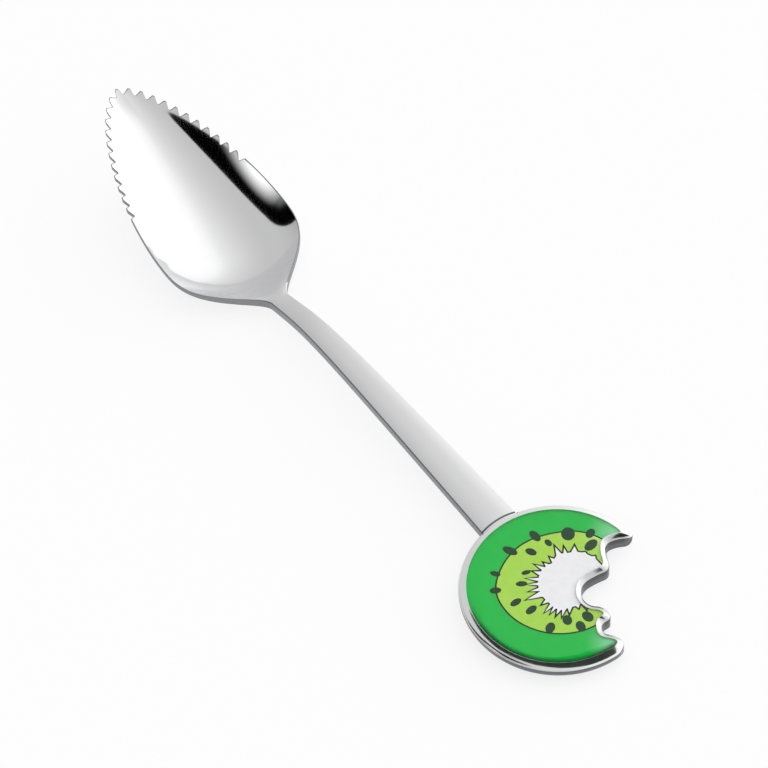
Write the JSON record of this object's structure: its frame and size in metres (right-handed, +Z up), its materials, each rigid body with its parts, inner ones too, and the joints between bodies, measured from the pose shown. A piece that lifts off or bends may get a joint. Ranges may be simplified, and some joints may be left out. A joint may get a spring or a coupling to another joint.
{
  "type": "grapefruit spoon",
  "caption": "Small spoon with a pointed, serrated bowl and a slim handle that ends in a round cast medallion, bitten at one side and filled with coloured enamel.",
  "frame": {"origin": "on the table, below the centre of the spoon's bounding box", "axes": "+X from the bowl to the medallion, +Z up from the table, +Y to the side of the medallion's upper horn"},
  "size_m": [0.1642, 0.0334, 0.0208],
  "materials": {
    "stainless_steel": "mirror polished bowl, satin handle",
    "plated_zinc": "bright nickel and chrome plate",
    "epoxy_glue": "cured epoxy",
    "green_enamel": "cured enamel",
    "lime_enamel": "cured enamel",
    "white_enamel": "cured enamel",
    "dark_enamel": "cured enamel",
    "line_enamel": "cured enamel",
    "clear_resin": "clear, poured level"
  },
  "bodies": {
    "root": {"spoon_blank": "stainless_steel", "medallion_casting": "plated_zinc", "tang_adhesive": "epoxy_glue", "skin_enamel": "green_enamel", "flesh_enamel": "lime_enamel", "core_enamel": "white_enamel", "seed_enamel": "dark_enamel", "outline_enamel": "line_enamel", "clear_coat": "clear_resin"}
  },
  "joints": []
}
